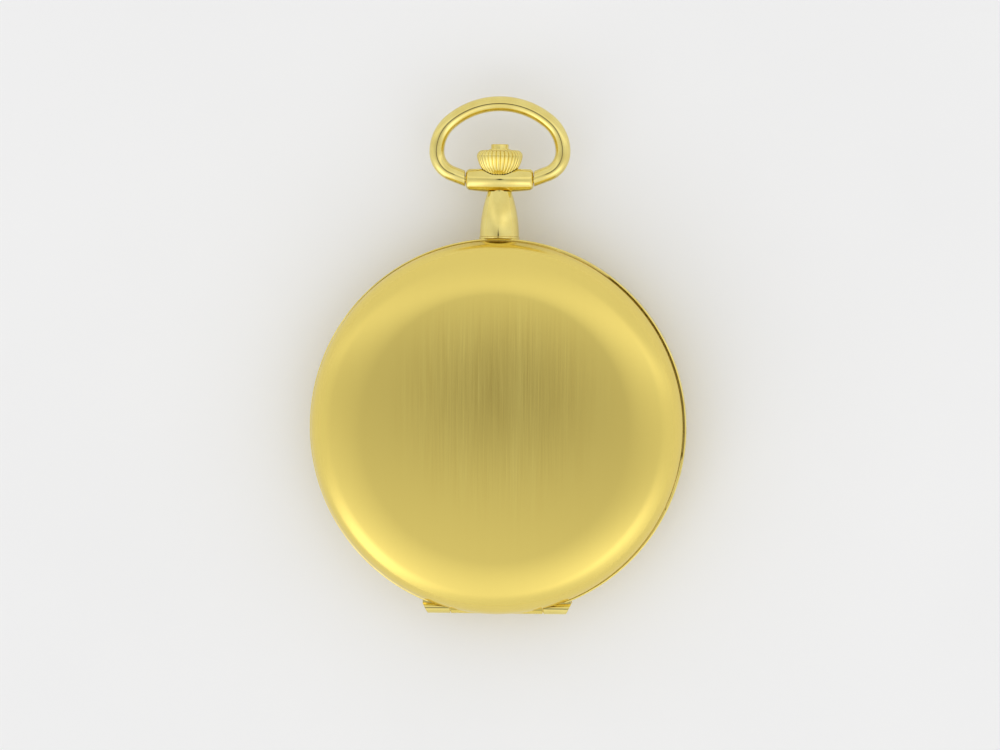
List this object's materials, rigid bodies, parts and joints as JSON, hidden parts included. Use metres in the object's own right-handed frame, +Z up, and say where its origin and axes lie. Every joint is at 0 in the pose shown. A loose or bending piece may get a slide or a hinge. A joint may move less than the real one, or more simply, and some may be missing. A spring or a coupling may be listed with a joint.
{
  "type": "full hunter pocket watch",
  "caption": "Round hand-wound pocket watch with hinged front and back covers, dust cover, winding crown with push button, swinging bow and jewelled lever movement.",
  "frame": {"origin": "centre of the flat on the back cover, which rests on the table", "axes": "+Y towards the crown and bow, +Z up through the front cover, +X to the right seen from above"},
  "size_m": [0.05, 0.0686, 0.0126],
  "materials": {
    "satin_gold": "fine satin brush, gold plated",
    "polished_gold": "polished, gold plated",
    "spring_steel": "fine ground",
    "screw_steel": "polished, tempered blue",
    "sunburst_steel": "snailed",
    "crystal_glass": "clear polished",
    "dial_enamel": "smooth enamel with printed numerals",
    "marker_gold": "polished",
    "blued_steel": "polished, tempered blue",
    "nickel_plate": "striped satin nickel",
    "ring_brass": "turned",
    "ruby": "polished synthetic ruby",
    "wheel_brass": "circular grained, gilt"
  },
  "bodies": {
    "case": {"case_band": "polished_gold", "front_hinge_pin": "polished_gold", "back_hinge_pin": "polished_gold", "pendant_neck": "polished_gold", "pendant_head": "polished_gold", "latch_springs": "spring_steel", "lift_spring": "spring_steel", "bezel": "polished_gold", "crystal": "crystal_glass", "movement_ring": "ring_brass", "case_screws": "screw_steel", "dial": "dial_enamel", "hour_markers": "marker_gold", "main_plate": "nickel_plate", "barrel_bridge": "nickel_plate", "train_bridge": "nickel_plate", "balance_cock": "nickel_plate", "pallet_bridge": "nickel_plate", "bridge_screws": "screw_steel", "jewels": "ruby", "crown_wheel_core": "screw_steel", "click_spring": "spring_steel", "hairspring": "blued_steel", "hairspring_stud": "spring_steel"},
    "front_cover": {"front_cover": "satin_gold"},
    "back_cover": {"back_cover": "satin_gold"},
    "dust_cover": {"dust_cover": "polished_gold"},
    "bow": {"bow": "polished_gold"},
    "clutch": {"winding_pinion": "spring_steel"},
    "sliding_pinion": {"sliding_pinion": "spring_steel"},
    "crown": {"crown": "polished_gold", "winding_stem": "spring_steel"},
    "button": {"crown_button": "polished_gold"},
    "latch": {"latch": "spring_steel"},
    "minute_train": {"minute_hand": "blued_steel", "cannon_pinion": "wheel_brass", "centre_wheel": "wheel_brass"},
    "hour_train": {"hour_hand": "blued_steel", "hour_wheel": "wheel_brass"},
    "minute_wheel": {"minute_wheel": "wheel_brass"},
    "setting_wheel": {"setting_wheel": "wheel_brass"},
    "third_wheel": {"third_wheel": "wheel_brass"},
    "fourth_wheel": {"fourth_wheel": "wheel_brass", "seconds_hand": "blued_steel"},
    "escape_wheel": {"escape_wheel": "wheel_brass"},
    "barrel": {"barrel": "wheel_brass", "barrel_drum": "wheel_brass", "mainspring": "spring_steel"},
    "barrel_arbor": {"barrel_arbor": "spring_steel", "ratchet_wheel": "sunburst_steel", "ratchet_screw": "screw_steel"},
    "crown_wheel": {"crown_wheel": "sunburst_steel"},
    "click": {"click": "spring_steel"},
    "pallet_fork": {"pallet_fork": "spring_steel"},
    "balance": {"balance_wheel": "wheel_brass"},
    "regulator": {"regulator": "spring_steel"},
    "setting_lever": {"setting_lever": "spring_steel"},
    "yoke": {"yoke": "spring_steel"}
  },
  "joints": [
    {"name": "front_cover_hinge", "type": "hinge", "parent": "case", "child": "front_cover", "pos_m": [0, -0.02405, 0.00728], "axis": [1, 0, 0], "range_deg": [0, 100]},
    {"name": "back_cover_hinge", "type": "hinge", "parent": "case", "child": "back_cover", "pos_m": [0, -0.02405, 0.00508], "axis": [-1, 0, 0], "range_deg": [0, 90]},
    {"name": "dust_cover_hinge", "type": "hinge", "parent": "case", "child": "dust_cover", "pos_m": [0, -0.02405, 0.00508], "axis": [-1, 0, 0], "range_deg": [0, 72]},
    {"name": "bow_swing", "type": "hinge", "parent": "case", "child": "bow", "pos_m": [0, 0.03278, 0.00618], "axis": [1, 0, 0], "range_deg": [-120, 120]},
    {"name": "crown_spin", "type": "hinge", "parent": "case", "child": "clutch", "pos_m": [0, 0, 0.00618], "axis": [0, 1, 0], "continuous": true},
    {"name": "crown_pull", "type": "slide", "parent": "clutch", "child": "crown", "axis": [0, 1, 0], "range_m": [0, 0.001]},
    {"name": "button_press", "type": "slide", "parent": "crown", "child": "button", "axis": [0, 1, 0], "range_m": [-0.0006, 0], "stiffness_N_per_m": 400},
    {"name": "clutch_shift", "type": "slide", "parent": "clutch", "child": "sliding_pinion", "axis": [0, 1, 0], "range_m": [-0.0002, 0]},
    {"name": "latch_slide", "type": "slide", "parent": "case", "child": "latch", "axis": [0, 1, 0], "range_m": [-0.0006, 0]},
    {"name": "minute_turn", "type": "hinge", "parent": "case", "child": "minute_train", "pos_m": [0, 0, 0.00618], "axis": [0, 0, 1], "continuous": true},
    {"name": "hour_turn", "type": "hinge", "parent": "case", "child": "hour_train", "pos_m": [0, 0, 0.00618], "axis": [0, 0, 1], "continuous": true},
    {"name": "minute_wheel_turn", "type": "hinge", "parent": "case", "child": "minute_wheel", "pos_m": [0, 0.0036, 0.00618], "axis": [0, 0, 1], "continuous": true},
    {"name": "setting_wheel_turn", "type": "hinge", "parent": "case", "child": "setting_wheel", "pos_m": [0, 0.0081, 0.00618], "axis": [0, 0, 1], "continuous": true},
    {"name": "third_wheel_turn", "type": "hinge", "parent": "case", "child": "third_wheel", "pos_m": [-0.00446, -0.00565, 0.00618], "axis": [0, 0, 1], "continuous": true},
    {"name": "fourth_wheel_turn", "type": "hinge", "parent": "case", "child": "fourth_wheel", "pos_m": [0, -0.0102, 0.00618], "axis": [0, 0, 1], "continuous": true},
    {"name": "escape_wheel_turn", "type": "hinge", "parent": "case", "child": "escape_wheel", "pos_m": [0.0052, -0.00928, 0.00618], "axis": [0, 0, 1], "continuous": true},
    {"name": "barrel_turn", "type": "hinge", "parent": "case", "child": "barrel", "pos_m": [-0.00663, 0.00382, 0.00618], "axis": [0, 0, 1], "continuous": true},
    {"name": "barrel_arbor_turn", "type": "hinge", "parent": "case", "child": "barrel_arbor", "pos_m": [-0.00663, 0.00382, 0.00618], "axis": [0, 0, 1], "continuous": true},
    {"name": "crown_wheel_turn", "type": "hinge", "parent": "case", "child": "crown_wheel", "pos_m": [0, 0.00879, 0.00618], "axis": [0, 0, 1], "continuous": true},
    {"name": "click_lift", "type": "hinge", "parent": "case", "child": "click", "pos_m": [-0.00784, 0.01072, 0.00618], "axis": [0, 0, -1], "range_deg": [0, 8], "stiffness_Nm_per_rad": 0.000002},
    {"name": "pallet_fork_swing", "type": "hinge", "parent": "case", "child": "pallet_fork", "pos_m": [0.00761, -0.0075, 0.00618], "axis": [0, 0, 1], "range_deg": [-4, 4]},
    {"name": "balance_swing", "type": "hinge", "parent": "case", "child": "balance", "pos_m": [0.011, -0.005, 0.00618], "axis": [0, 0, 1], "range_deg": [-270, 270], "stiffness_Nm_per_rad": 0.0000005},
    {"name": "regulator_turn", "type": "hinge", "parent": "case", "child": "regulator", "pos_m": [0.011, -0.005, 0.00618], "axis": [0, 0, 1], "range_deg": [-20, 20]},
    {"name": "setting_lever_turn", "type": "hinge", "parent": "case", "child": "setting_lever", "pos_m": [0.0046, 0.01434, 0.00618], "axis": [0, 0, -1], "range_deg": [0, 13]},
    {"name": "yoke_turn", "type": "hinge", "parent": "case", "child": "yoke", "pos_m": [0.0068, 0.0062, 0.00618], "axis": [0, 0, 1], "range_deg": [0, 2]}
  ],
  "couplings": [
    {"joint": "dust_cover_hinge", "follows": "back_cover_hinge", "ratio": 0.8},
    {"joint": "latch_slide", "follows": "button_press", "ratio": 1},
    {"joint": "clutch_shift", "follows": "crown_pull", "ratio": -0.2},
    {"joint": "setting_lever_turn", "follows": "crown_pull", "rad_per_m": 216.5},
    {"joint": "yoke_turn", "follows": "crown_pull", "rad_per_m": 29.4},
    {"joint": "crown_wheel_turn", "follows": "crown_spin", "ratio": 0.43333},
    {"joint": "barrel_arbor_turn", "follows": "crown_spin", "ratio": -0.33333},
    {"joint": "hour_turn", "follows": "minute_turn", "ratio": 0.083333},
    {"joint": "minute_wheel_turn", "follows": "minute_turn", "ratio": -0.33333},
    {"joint": "setting_wheel_turn", "follows": "minute_turn", "ratio": 0.5},
    {"joint": "third_wheel_turn", "follows": "minute_turn", "ratio": -8},
    {"joint": "fourth_wheel_turn", "follows": "minute_turn", "ratio": 60},
    {"joint": "escape_wheel_turn", "follows": "minute_turn", "ratio": -600},
    {"joint": "barrel_turn", "follows": "minute_turn", "ratio": -0.15385}
  ]
}
